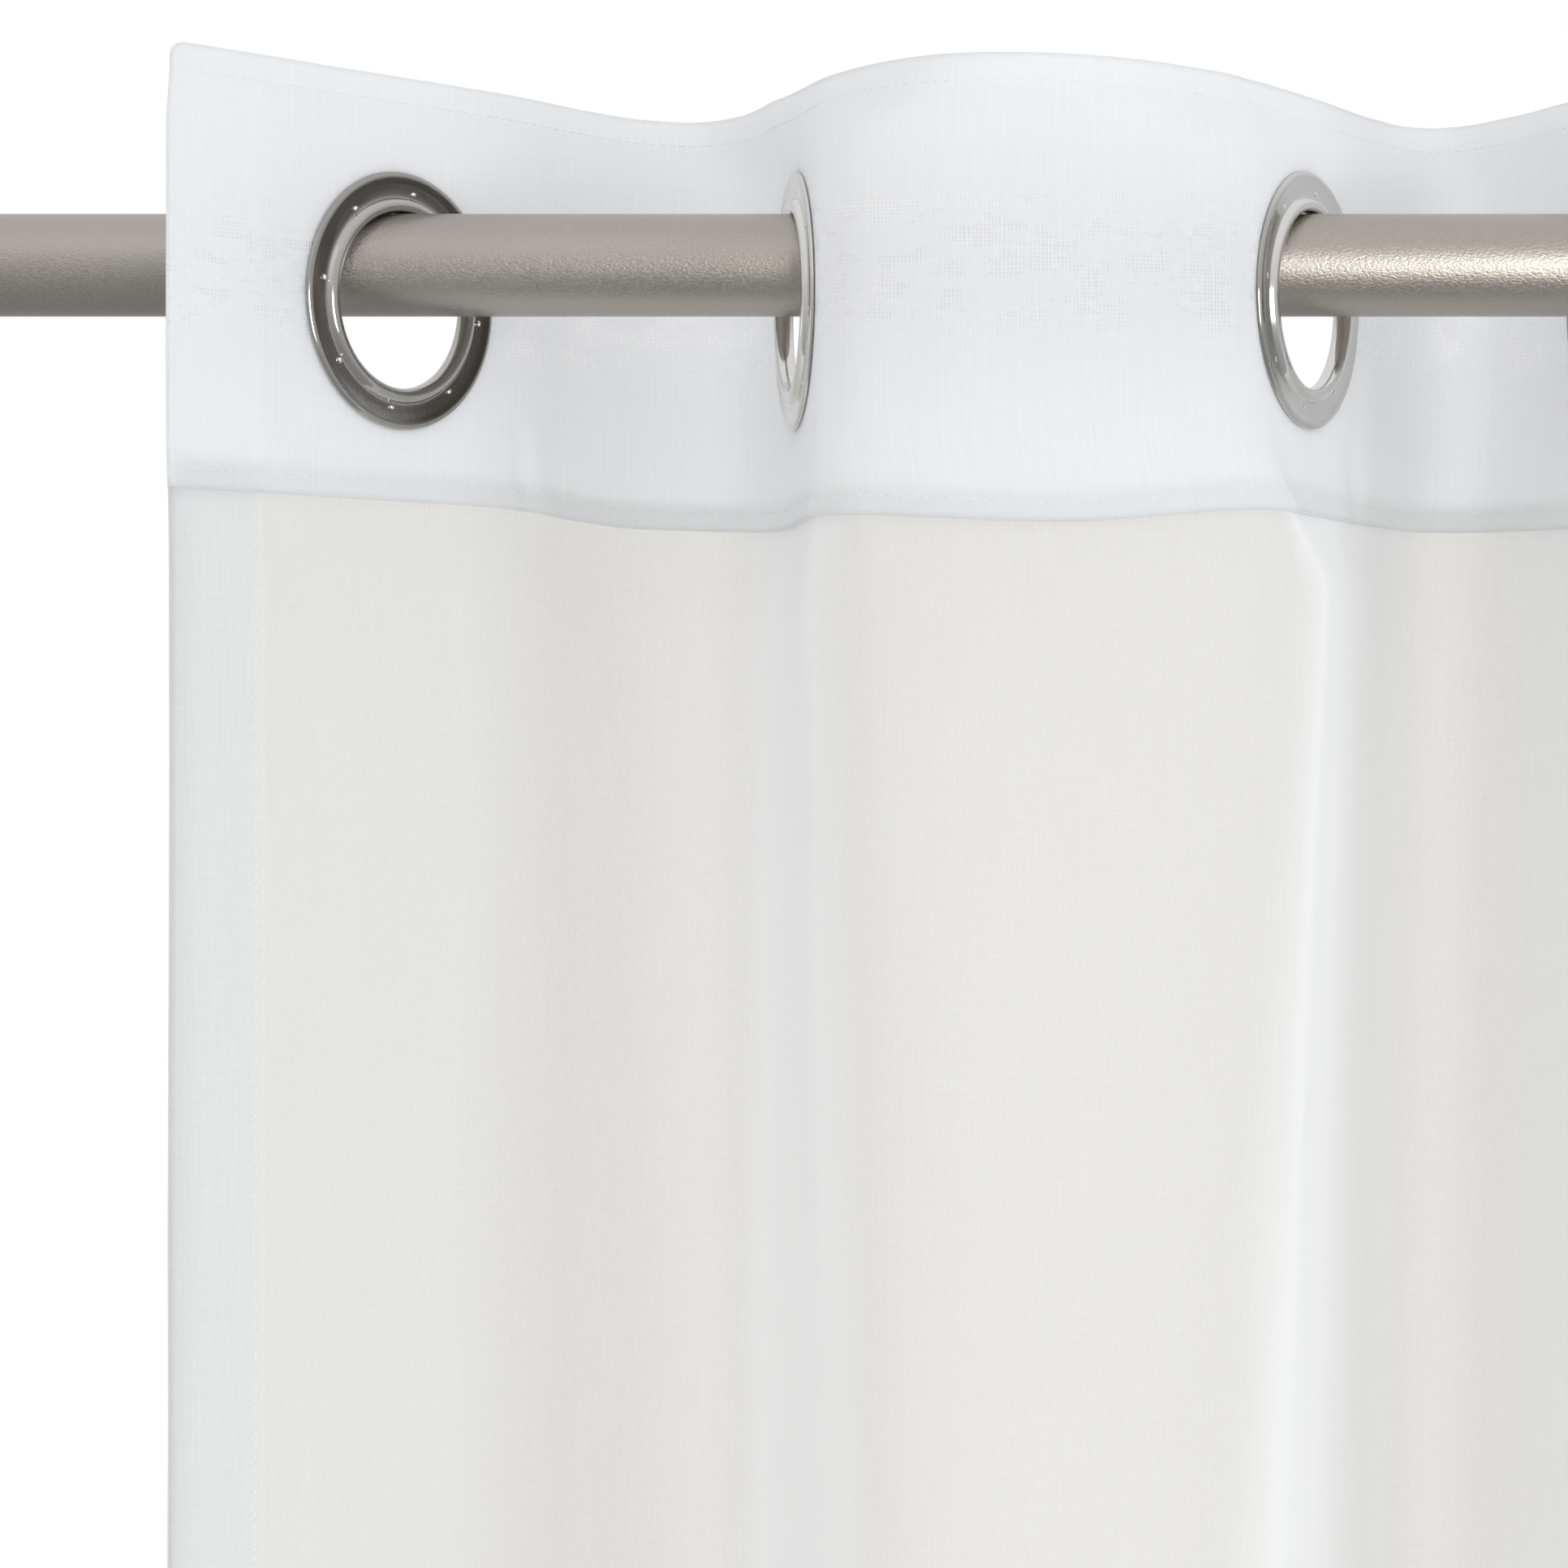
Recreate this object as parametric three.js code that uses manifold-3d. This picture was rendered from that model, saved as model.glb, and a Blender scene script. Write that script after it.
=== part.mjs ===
// Eyelet curtain hanging from a round rod. Millimetres, +Z up, +X along the rod, and the room
// is on the -Y side. The origin is the centre of the rod's left end face.
import * as THREE from 'three';
import { mergeVertices } from 'three/addons/utils/BufferGeometryUtils.js';
import Module from 'manifold-3d';

const wasm = await Module();
wasm.setup();

// Rod
const ROD_DIAMETER = 25;
const ROD_LENGTH = 1200;
const ROD_CHAMFER = 1;
const ROD_SIDES = 48;

// Cloth: a doubled heading strip that holds the eyelets, and the hanging panel below it
const DROP = 2450;
const EYELET_BELOW_TOP = 51;
const EYELET_ABOVE_FOOT = 54;
const HEADING_THICKNESS = 1.6;
const PANEL_THICKNESS = 1;
const PIECE_GAP = 0.3;
const SEAM_GAP = 0.4;
const LEFT_EDGE_CLOTH = 74.5;
const RIGHT_EDGE_CLOTH = 78;
const FIRST_EYELET_X = 225;

// Eyelets: a front ring whose collar passes through the cloth, and a back ring around that collar
const BORE_RADIUS = 21.3;
const COLLAR_RADIUS = 24;
const CLOTH_HOLE_RADIUS = 25.2;
const FLANGE_RADIUS = 31.5;
const FLANGE_RISE = 1.3;
const BEAD_RISE = 2.2;
const EYELET_SIDES = 24;
const SEAT_GAP = 0.4;
const EYELET_Z = ROD_DIAMETER / 2 + SEAT_GAP - BORE_RADIUS;

// Shape of the folds at each eyelet, in mm and degrees. A turn is the cloth's direction, seen
// from above, against the rod: positive runs away from the room. Between eyelets the cloth
// swings behind the rod after a positive turn and in front of it after a negative one.
//   along      rod distance from the first eyelet
//   cloth      cloth between this eyelet and the next
//   skew       draws the fold's deepest part towards this eyelet (above 0) or the next (below 0)
//   top, ring, hang, hem   turns at the top edge, the eyelet, below the heading, and the hem
//   tip, shift, drift      sideways shifts at the top edge, below the heading, and at the hem
//   hold       straight cloth on each side of the eyelet, below the heading
//   lift       how far the top edge sits above even
//   foot, sag  how far the heading's lower edge sits above even, here and midway to the next
//   rise       how much higher a turned eyelet sits, where the rod meets its sides
const FOLD_COLUMNS = [
  'along', 'cloth', 'skew', 'top', 'ring', 'hang', 'hem', 'tip', 'shift', 'drift', 'hold',
  'lift', 'foot', 'sag', 'rise',
];
const FOLD_ROWS = [
  [0, 171.5, 0.2, 50, 49, 50, 50, 0, 0, -1, 38, 3.4, 4.8, 1, 0.4],
  [98, 181, 0.35, -73, -82, -86, -79, 0, 0, 4, 12, 0, -0.6, -2.8, 0],
  [221.7, 168, -0.3, 60, 61, 76, 70, -5, 8, -11, 12, 0.2, 1, 0.8, 0.1],
  [300.2, 181, -0.2, -71, -75, -74, -80, 0, 2, -9, 12, 1, 0, -0.8, 0],
  [418, 181, 0.1, 66, 66, 71, 62, 0, -3, 8, 14, -0.6, 0.4, 0, 0],
  [513, 181, 0.25, -71, -78, -75, -69, 0, 3, 14, 12, 0.4, 0, -1, 0],
  [636, 181, -0.2, 62, 60, 66, 74, 0, 4, -6, 18, 0, -0.6, 0.6, 0.1],
  [729, 0, 0, -52, -55, -53, -57, 0, 0, 3, 24, 1.2, 1, 0, 0.2],
];
const FOLDS = FOLD_ROWS.map((row) => Object.fromEntries(FOLD_COLUMNS.map((name, k) => [name, row[k]])));

// Levels, as heights over the eyelet centres, and the straight cloth on each side of an eyelet
const RING_ZONE = 33;
const HANG_LEVEL = -72;
const DRIFT_DEPTH = 350;
const RING_STRAIGHT = 32;
const TOP_STRAIGHT = 12;
const HEM_STRAIGHT = 12;

// Mesh steps, and the search for a fold's handle length
const CURVE_STEPS = 28;
const LONGEST_HANDLE = 400;
const HANDLE_TRIES = 24;
const GAP_COLUMNS = 9;
const EDGE_COLUMNS = 3;
const PANEL_COLUMNS = 14;
const PANEL_ROWS = 17;
const PANEL_ROW_POWER = 1.5;

const EYELETS = FOLDS.length;
const clothBefore = (i) => FOLDS.slice(0, i).reduce((sum, fold) => sum + fold.cloth, LEFT_EDGE_CLOTH);
const EYELET_U = FOLDS.map((_, i) => clothBefore(i));
const CLOTH_WIDTH = clothBefore(EYELETS) + RIGHT_EDGE_CLOTH;
const HEM_HEIGHT = EYELET_BELOW_TOP - DROP;

function mix(a, b, t) {
  return a + (b - a) * t;
}

function smooth(t) {
  const s = Math.min(Math.max(t, 0), 1);
  return s * s * (3 - 2 * s);
}

// Place, direction and straight length of the cloth at eyelet i, at height h over its centre
function pinAt(i, h) {
  const fold = FOLDS[i];
  const toTop = smooth((h - RING_ZONE) / (EYELET_BELOW_TOP - RING_ZONE));
  const toHang = smooth((-RING_ZONE - h) / (-RING_ZONE - HANG_LEVEL));
  const toHem = h < HANG_LEVEL ? 1 - Math.exp((h - HANG_LEVEL) / DRIFT_DEPTH) : 0;
  const hang = mix(fold.hang, fold.hem, toHem);
  const turn = THREE.MathUtils.degToRad(mix(mix(fold.ring, fold.top, toTop), hang, toHang));
  const straight = mix(mix(RING_STRAIGHT, TOP_STRAIGHT, toTop), mix(fold.hold, HEM_STRAIGHT, toHem), toHang);
  const sideways = toTop * fold.tip + toHang * mix(fold.shift, fold.drift, toHem);
  const x = FIRST_EYELET_X + fold.along + sideways;
  return { x, straight, dx: Math.cos(turn), dy: Math.sin(turn) };
}

// Plan curve of the cloth between eyelet i and the next at height h: a cubic whose handles
// are lengthened until it holds exactly the cloth that hangs there
const curveCache = new Map();
function gapCurve(i, h) {
  const key = `${i} ${h.toFixed(3)}`;
  if (curveCache.has(key)) return curveCache.get(key);
  const from = pinAt(i, h);
  const to = pinAt(i + 1, h);
  const want = FOLDS[i].cloth - from.straight - to.straight;
  const start = new THREE.Vector2(from.x + from.dx * from.straight, from.dy * from.straight);
  const end = new THREE.Vector2(to.x - to.dx * to.straight, -to.dy * to.straight);
  let low = 0;
  let high = LONGEST_HANDLE;
  let points;
  for (let step = 0; step < HANDLE_TRIES; step++) {
    const handle = (low + high) / 2;
    const near = handle * (1 + FOLDS[i].skew);
    const far = handle * (1 - FOLDS[i].skew);
    const leave = new THREE.Vector2(start.x + from.dx * near, start.y + from.dy * near);
    const arrive = new THREE.Vector2(end.x - to.dx * far, end.y - to.dy * far);
    points = new THREE.CubicBezierCurve(start, leave, arrive, end).getPoints(CURVE_STEPS);
    let length = 0;
    for (let k = 0; k < CURVE_STEPS; k++) length += points[k].distanceTo(points[k + 1]);
    if (length < want) low = handle;
    else high = handle;
  }
  const reach = [0];
  for (let k = 0; k < CURVE_STEPS; k++) reach.push(reach[k] + points[k].distanceTo(points[k + 1]));
  const curve = { points, reach, length: reach[CURVE_STEPS] };
  curveCache.set(key, curve);
  return curve;
}

// Point of the cloth's middle surface, seen from above, at cloth width u and height h
function planPoint(u, h) {
  const last = EYELETS - 1;
  let i = 0;
  while (i < last && u > EYELET_U[i + 1]) i++;
  const pin = pinAt(i, h);
  const past = u - EYELET_U[i];
  if (past <= pin.straight || i === last) return new THREE.Vector2(pin.x + pin.dx * past, pin.dy * past);
  const next = pinAt(i + 1, h);
  const before = EYELET_U[i + 1] - u;
  if (before <= next.straight) return new THREE.Vector2(next.x - next.dx * before, -next.dy * before);
  const curve = gapCurve(i, h);
  const free = FOLDS[i].cloth - pin.straight - next.straight;
  const s = ((past - pin.straight) / free) * curve.length;
  let k = 0;
  while (k < CURVE_STEPS - 1 && curve.reach[k + 1] < s) k++;
  const t = (s - curve.reach[k]) / (curve.reach[k + 1] - curve.reach[k]);
  return new THREE.Vector2().lerpVectors(curve.points[k], curve.points[k + 1], t);
}

// Both faces of a sheet of the given thickness at (u, h)
const NORMAL_STEP = 1;
function facePoints(u, h, thickness) {
  const a = planPoint(Math.max(u - NORMAL_STEP, 0), h);
  const b = planPoint(Math.min(u + NORMAL_STEP, CLOTH_WIDTH), h);
  const p = planPoint(u, h);
  const along = b.sub(a).normalize();
  const z = EYELET_Z + h;
  const half = thickness / 2;
  return {
    front: new THREE.Vector3(p.x + along.y * half, p.y - along.x * half, z),
    back: new THREE.Vector3(p.x - along.y * half, p.y + along.x * half, z),
  };
}

// Height along the width, level over each eyelet's straight cloth and eased between them,
// by way of the value midway
function eased(column, midway, u) {
  const last = EYELETS - 1;
  if (u <= EYELET_U[0]) return FOLDS[0][column];
  if (u >= EYELET_U[last]) return FOLDS[last][column];
  let i = 0;
  while (u > EYELET_U[i + 1]) i++;
  const start = EYELET_U[i] + RING_STRAIGHT;
  const end = EYELET_U[i + 1] - RING_STRAIGHT;
  const share = (2 * (u - start)) / (end - start);
  const middle = midway(FOLDS[i], FOLDS[i + 1]);
  if (share < 1) return mix(FOLDS[i][column], middle, smooth(share));
  return mix(middle, FOLDS[i + 1][column], smooth(share - 1));
}

const topEdge = (u) => EYELET_BELOW_TOP + eased('lift', (a, b) => (a.lift + b.lift) / 2, u);
const headingFoot = (u) => -EYELET_ABOVE_FOOT + eased('foot', (a) => a.sag, u);

// Closed sheet over a grid: columns are cloth widths, and heightAt gives each row's height
function sheetGeometry(columns, rows, heightAt, thickness) {
  const across = columns.length;
  const points = [];
  for (const side of ['front', 'back']) {
    for (let row = 0; row < rows; row++) {
      for (const u of columns) points.push(facePoints(u, heightAt(u, row), thickness)[side]);
    }
  }
  const at = (side, row, column) => side * rows * across + row * across + column;
  const faces = [];
  const quad = (a, b, c, d) => faces.push(a, b, c, a, c, d);
  for (let row = 0; row < rows - 1; row++) {
    for (let column = 0; column < across - 1; column++) {
      quad(at(0, row, column), at(0, row + 1, column), at(0, row + 1, column + 1), at(0, row, column + 1));
      quad(at(1, row, column), at(1, row, column + 1), at(1, row + 1, column + 1), at(1, row + 1, column));
    }
    const end = across - 1;
    quad(at(0, row, 0), at(1, row, 0), at(1, row + 1, 0), at(0, row + 1, 0));
    quad(at(0, row, end), at(0, row + 1, end), at(1, row + 1, end), at(1, row, end));
  }
  const foot = rows - 1;
  for (let column = 0; column < across - 1; column++) {
    quad(at(0, 0, column), at(0, 0, column + 1), at(1, 0, column + 1), at(1, 0, column));
    quad(at(0, foot, column), at(1, foot, column), at(1, foot, column + 1), at(0, foot, column + 1));
  }
  const geometry = new THREE.BufferGeometry();
  geometry.setFromPoints(points);
  geometry.setIndex(faces);
  geometry.computeVertexNormals();
  return geometry;
}

function evenSteps(from, to, steps) {
  return Array.from({ length: steps }, (_, k) => mix(from, to, k / steps));
}

// Columns of the heading: the straight cloth at each eyelet stays one cell
function headingColumns() {
  const columns = evenSteps(0, EYELET_U[0] - RING_STRAIGHT, EDGE_COLUMNS);
  for (let i = 0; i < EYELETS; i++) {
    const last = i === EYELETS - 1;
    const end = last ? CLOTH_WIDTH : EYELET_U[i + 1] - RING_STRAIGHT;
    columns.push(EYELET_U[i] - RING_STRAIGHT);
    columns.push(...evenSteps(EYELET_U[i] + RING_STRAIGHT, end, last ? EDGE_COLUMNS : GAP_COLUMNS));
  }
  columns.push(CLOTH_WIDTH);
  return columns;
}

function panelColumns() {
  const columns = evenSteps(0, EYELET_U[0], EDGE_COLUMNS);
  for (let i = 0; i < EYELETS - 1; i++) {
    columns.push(...evenSteps(EYELET_U[i], EYELET_U[i + 1], PANEL_COLUMNS));
  }
  columns.push(...evenSteps(EYELET_U[EYELETS - 1], CLOTH_WIDTH, EDGE_COLUMNS), CLOTH_WIDTH);
  return columns;
}

// A geometry as a solid that can be cut, and back
function toSolid(geometry) {
  const bare = geometry.clone();
  bare.deleteAttribute('normal');
  bare.deleteAttribute('uv');
  const merged = mergeVertices(bare, 1e-4);
  return new wasm.Manifold(new wasm.Mesh({
    numProp: 3,
    vertProperties: new Float32Array(merged.attributes.position.array),
    triVerts: new Uint32Array(merged.index.array),
  }));
}

function fromSolid(solid) {
  const mesh = solid.getMesh();
  const geometry = new THREE.BufferGeometry();
  geometry.setAttribute('position', new THREE.BufferAttribute(new Float32Array(mesh.vertProperties), 3));
  geometry.setIndex(new THREE.BufferAttribute(new Uint32Array(mesh.triVerts), 1));
  geometry.computeVertexNormals();
  return geometry;
}

// Turns a shape made about Z so that Z points out of the cloth's front at eyelet i
function eyeletMatrix(i) {
  const pin = pinAt(i, 0);
  const out = new THREE.Vector3(pin.dy, -pin.dx, 0);
  const up = new THREE.Vector3(0, 0, 1);
  const side = new THREE.Vector3().crossVectors(up, out);
  return new THREE.Matrix4().makeBasis(side, up, out).setPosition(pin.x, 0, EYELET_Z + FOLDS[i].rise);
}

const HOLE_CUT_LENGTH = 12;
function clothHole(i) {
  const radius = CLOTH_HOLE_RADIUS;
  const hole = new THREE.CylinderGeometry(radius, radius, HOLE_CUT_LENGTH, EYELET_SIDES);
  return hole.rotateX(Math.PI / 2).applyMatrix4(eyeletMatrix(i));
}

// Ring turned from a closed profile of [radius, height over the cloth's middle]
function ringGeometry(profile) {
  const points = [...profile, profile[0]].map(([radius, height]) => new THREE.Vector2(radius, height));
  return new THREE.LatheGeometry(points, EYELET_SIDES).rotateX(Math.PI / 2);
}

const SEAT = HEADING_THICKNESS / 2 + PIECE_GAP;
const FLANGE_TOP = SEAT + FLANGE_RISE;
const BEAD_TOP = SEAT + BEAD_RISE;
const BORE_EASE = 1.6;
const FRONT_PROFILE = [
  [COLLAR_RADIUS, SEAT],
  [FLANGE_RADIUS, SEAT],
  [FLANGE_RADIUS - 1.5, FLANGE_TOP],
  [COLLAR_RADIUS + 1.2, FLANGE_TOP - 0.5],
  [COLLAR_RADIUS + 0.6, BEAD_TOP - 0.4],
  [(COLLAR_RADIUS + BORE_RADIUS) / 2 + 0.3, BEAD_TOP],
  [BORE_RADIUS + 1.1, BEAD_TOP - 0.7],
  [BORE_RADIUS, 0.3],
  [BORE_RADIUS + 0.9, -BORE_EASE],
  [COLLAR_RADIUS, -BORE_EASE],
];
const BACK_PROFILE = [
  [COLLAR_RADIUS + PIECE_GAP, -SEAT],
  [COLLAR_RADIUS + PIECE_GAP, -SEAT - FLANGE_RISE],
  [FLANGE_RADIUS - 2, -SEAT - FLANGE_RISE],
  [FLANGE_RADIUS, -SEAT],
];

function rodGeometry() {
  const radius = ROD_DIAMETER / 2;
  const profile = [
    new THREE.Vector2(0, 0),
    new THREE.Vector2(radius - ROD_CHAMFER, 0),
    new THREE.Vector2(radius, ROD_CHAMFER),
    new THREE.Vector2(radius, ROD_LENGTH - ROD_CHAMFER),
    new THREE.Vector2(radius - ROD_CHAMFER, ROD_LENGTH),
    new THREE.Vector2(0, ROD_LENGTH),
  ];
  return new THREE.LatheGeometry(profile, ROD_SIDES).rotateZ(-Math.PI / 2);
}

// The heading's rows: top edge, the flat zone that the flanges clamp, and the lower edge
function headingGeometry() {
  const rows = [
    (u) => topEdge(u),
    (u) => mix(topEdge(u), RING_ZONE, 0.55),
    () => RING_ZONE,
    () => -RING_ZONE,
    (u) => mix(headingFoot(u), -RING_ZONE, 0.5),
    (u) => headingFoot(u),
  ];
  const strip = sheetGeometry(headingColumns(), rows.length, (u, row) => rows[row](u), HEADING_THICKNESS);
  let solid = toSolid(strip);
  for (let i = 0; i < EYELETS; i++) solid = solid.subtract(toSolid(clothHole(i)));
  return fromSolid(solid);
}

function panelGeometry() {
  const heightAt = (u, row) => {
    const share = (row / (PANEL_ROWS - 1)) ** PANEL_ROW_POWER;
    return mix(headingFoot(u) - SEAM_GAP, HEM_HEIGHT, share);
  };
  return sheetGeometry(panelColumns(), PANEL_ROWS, heightAt, PANEL_THICKNESS);
}

const clothLook = { color: 0xe6e4df, roughness: 0.9, metalness: 0, side: THREE.DoubleSide };
const LOOKS = {
  rod: () => new THREE.MeshStandardMaterial({ color: 0x98928a, roughness: 0.38, metalness: 0.9 }),
  heading: () => new THREE.MeshStandardMaterial({ ...clothLook, color: 0xebecef }),
  panel: () => new THREE.MeshStandardMaterial(clothLook),
  eyelet: () => new THREE.MeshStandardMaterial({ color: 0xb4b2b0, roughness: 0.15, metalness: 1 }),
};

const curtain = new THREE.Group();

function addPiece(name, geometry, material) {
  const mesh = new THREE.Mesh(geometry, material);
  mesh.name = name;
  curtain.add(mesh);
  return mesh;
}

addPiece('rod', rodGeometry(), LOOKS.rod());
addPiece('heading', headingGeometry(), LOOKS.heading());
addPiece('panel', panelGeometry(), LOOKS.panel());
for (let i = 0; i < EYELETS; i++) {
  for (const [side, profile] of [['front', FRONT_PROFILE], ['back', BACK_PROFILE]]) {
    const ring = addPiece(`eyelet_${i + 1}_${side}`, ringGeometry(profile), LOOKS.eyelet());
    ring.applyMatrix4(eyeletMatrix(i));
  }
}

export default curtain;
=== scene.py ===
import math
import random

import bmesh
import bpy
import numpy as np
from bpy.props import FloatProperty, FloatVectorProperty, IntProperty, PointerProperty
from mathutils import Matrix, Vector


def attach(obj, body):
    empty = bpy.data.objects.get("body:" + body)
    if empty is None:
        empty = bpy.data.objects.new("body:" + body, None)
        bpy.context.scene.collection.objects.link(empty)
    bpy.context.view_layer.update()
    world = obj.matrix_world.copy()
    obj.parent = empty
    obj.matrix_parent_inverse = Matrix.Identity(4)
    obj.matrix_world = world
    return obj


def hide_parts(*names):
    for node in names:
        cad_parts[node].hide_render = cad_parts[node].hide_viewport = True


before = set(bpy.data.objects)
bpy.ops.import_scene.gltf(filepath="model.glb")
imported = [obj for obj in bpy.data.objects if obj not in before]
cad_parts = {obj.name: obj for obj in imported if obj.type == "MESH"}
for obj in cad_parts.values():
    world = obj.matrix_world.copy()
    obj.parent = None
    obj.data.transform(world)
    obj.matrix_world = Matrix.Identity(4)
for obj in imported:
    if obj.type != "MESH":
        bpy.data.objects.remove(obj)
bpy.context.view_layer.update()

bl_info = {
    "name": "Eyelet curtain on a rod",
    "version": (1, 0, 0),
    "blender": (4, 5, 0),
    "location": "View3D > Sidebar > Curtain",
    "description": "Builds a sheer eyelet curtain, its eyelets and its rod",
    "category": "Object",
}

# Sizes below are millimetres and degrees; a mesh takes metres
MM = 0.001

# Heights over the eyelet centres: the flat cloth that the flanges clamp, and where it hangs free
RING_ZONE = 33
HANG_LEVEL = -72
# Depth over which the folds wander towards their places at the hem
DRIFT_DEPTH = 350
# Straight cloth on each side of an eyelet: at its own height, at the top edge and at the hem
RING_STRAIGHT = 32
TOP_STRAIGHT = 12
HEM_STRAIGHT = 12
# Cloth past the outer eyelets, and the heading's height over and under the eyelet centres
LEFT_EDGE_CLOTH = 74.5
RIGHT_EDGE_CLOTH = 78
EYELET_BELOW_TOP = 51
EYELET_ABOVE_FOOT = 54
# Where the first eyelet's centre lies, along the rod and under its axis
FIRST_EYELET_X = 225
EYELET_Z = -8.4

# One row for each eyelet. A turn is the cloth's direction seen from above, against the rod
#   along      rod distance from the first eyelet
#   cloth      cloth between this eyelet and the next
#   skew       draws the fold's deepest part towards this eyelet or the next
#   top, ring, hang, hem   turns at the top edge, the eyelet, below the heading, and the hem
#   tip, shift, drift      sideways shifts at the top edge, below the heading, and at the hem
#   hold       straight cloth on each side of the eyelet, below the heading
#   lift       how far the top edge sits above even
#   foot, sag  how far the heading's lower edge sits above even, here and midway to the next
#   rise       how much higher a turned eyelet sits
FOLD_COLUMNS = (
    "along", "cloth", "skew", "top", "ring", "hang", "hem", "tip", "shift", "drift", "hold",
    "lift", "foot", "sag", "rise",
)
FOLD_ROWS = (
    (0, 171.5, 0.2, 50, 49, 50, 50, 0, 0, -1, 38, 3.4, 4.8, 1, 0.4),
    (98, 181, 0.35, -73, -82, -86, -79, 0, 0, 4, 12, 0, -0.6, -2.8, 0),
    (221.7, 168, -0.3, 60, 61, 76, 70, -5, 8, -11, 12, 0.2, 1, 0.8, 0.1),
    (300.2, 181, -0.2, -71, -75, -74, -80, 0, 2, -9, 12, 1, 0, -0.8, 0),
    (418, 181, 0.1, 66, 66, 71, 62, 0, -3, 8, 14, -0.6, 0.4, 0, 0),
    (513, 181, 0.25, -71, -78, -75, -69, 0, 3, 14, 12, 0.4, 0, -1, 0),
    (636, 181, -0.2, 62, 60, 66, 74, 0, 4, -6, 18, 0, -0.6, 0.6, 0.1),
    (729, 0, 0, -52, -55, -53, -57, 0, 0, 3, 24, 1.2, 1, 0, 0.2),
)
FOLD = {name: np.array([row[k] for row in FOLD_ROWS], float) for k, name in enumerate(FOLD_COLUMNS)}
EYELETS = len(FOLD_ROWS)
EYELET_U = LEFT_EDGE_CLOTH + np.concatenate([[0], np.cumsum(FOLD["cloth"][:-1])])
CLOTH_WIDTH = EYELET_U[-1] + RIGHT_EDGE_CLOTH

# The small creases by the eyelets. CREASE_FADE is the share of a crease's length over which
# each end fades, and CREASE_CORE the share of its half width that is deep
CREASE_FADE = 0.25
CREASE_CORE = 0.6
# u and h of the upper end and of the lower end, half width, and depth, below zero where the
# cloth is pushed back
CREASES = (
    (117, -30, 118, -50, 3.0, -1.0),
    (121, -30, 125, -52, 4.0, 0.7),
    (36, -38, 30, -60, 7.0, 0.8),
    (60, 40, 50, 52, 6.0, -0.6),
    (228, -36, 220, -70, 7.0, -1.0),
    (282, -34, 292, -66, 6.0, 0.8),
    (232, 30, 224, 50, 6.0, 0.6),
    (404, -36, 397, -66, 7.0, 0.9),
    (456, -34, 464, -60, 6.0, -0.9),
    (412, 34, 404, 52, 6.0, -0.5),
    (573, -35, 566, -70, 7.0, -0.9),
    (624, -34, 633, -64, 7.0, 0.9),
    (756, -36, 748, -70, 7.0, 0.9),
    (806, -36, 814, -66, 6.0, -0.8),
    (935, -35, 929, -68, 7.0, -0.9),
    (987, -36, 996, -66, 6.0, 0.8),
    (1117, -34, 1110, -64, 7.0, 0.8),
    (1168, -36, 1176, -68, 6.0, -0.9),
    (1298, -36, 1290, -66, 7.0, -0.8),
    (1350, -34, 1357, -60, 6.0, 0.7),
)

# The soft lengthwise folds of the hanging panel: its height, and the shares of it at which
# their depths are given and over which they start below the heading
FALL_LENGTH = 2340
FALL_SHARES = (0, 0.33, 1)
FALL_START = 0.03
# u at the heading and at the hem, depth at the three shares, and half width
FALLS = (
    (20, 26, 0.2, 1.2, 2.5, 14),
    (140, 150, 0.6, 2.2, 3.5, 16),
    (176, 168, -0.4, -1.8, -3.0, 12),
    (214, 226, 0.3, 1.6, 3.0, 13),
    (300, 310, 0.4, 1.4, 2.6, 14),
    (338, 330, -0.5, -2.0, -3.2, 16),
    (376, 384, 0.3, 1.6, 3.0, 14),
    (470, 480, 0.3, 1.6, 3.0, 15),
    (512, 504, -0.4, -2.0, -3.4, 16),
    (556, 566, 0.3, 1.2, 2.4, 12),
    (650, 640, 0.4, 1.8, 3.2, 15),
    (694, 704, -0.4, -1.8, -3.0, 14),
    (735, 728, 0.3, 1.4, 2.6, 12),
    (828, 838, 0.4, 1.8, 3.0, 15),
    (870, 862, -0.4, -2.0, -3.2, 15),
    (1010, 1020, 0.4, 1.8, 3.0, 14),
    (1052, 1044, -0.4, -1.8, -3.2, 15),
    (1192, 1202, 0.4, 1.8, 3.2, 15),
    (1232, 1224, -0.4, -2.0, -3.0, 14),
    (1374, 1368, 0.2, 1.2, 2.6, 14),
)


def mix(a, b, t):
    return a + (b - a) * t


def smooth(t):
    s = np.clip(t, 0, 1)
    return s * s * (3 - 2 * s)


def pins(i, level):
    """Place, direction and straight length of the cloth at eyelet i, for an array of levels."""
    to_top = smooth((level - RING_ZONE) / (EYELET_BELOW_TOP - RING_ZONE))
    to_hang = smooth((-RING_ZONE - level) / (-RING_ZONE - HANG_LEVEL))
    to_hem = 1 - np.exp(np.minimum(level - HANG_LEVEL, 0) / DRIFT_DEPTH)
    f = {name: FOLD[name][i] for name in FOLD_COLUMNS}
    turn_up, turn_down = mix(f["ring"], f["top"], to_top), mix(f["hang"], f["hem"], to_hem)
    turn = np.radians(mix(turn_up, turn_down, to_hang))
    straight_up = mix(RING_STRAIGHT, TOP_STRAIGHT, to_top)
    straight = mix(straight_up, mix(f["hold"], HEM_STRAIGHT, to_hem), to_hang)
    moved = to_top * f["tip"] + to_hang * mix(f["shift"], f["drift"], to_hem)
    x = FIRST_EYELET_X + f["along"] + moved
    return x, straight, np.cos(turn), np.sin(turn)


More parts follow.
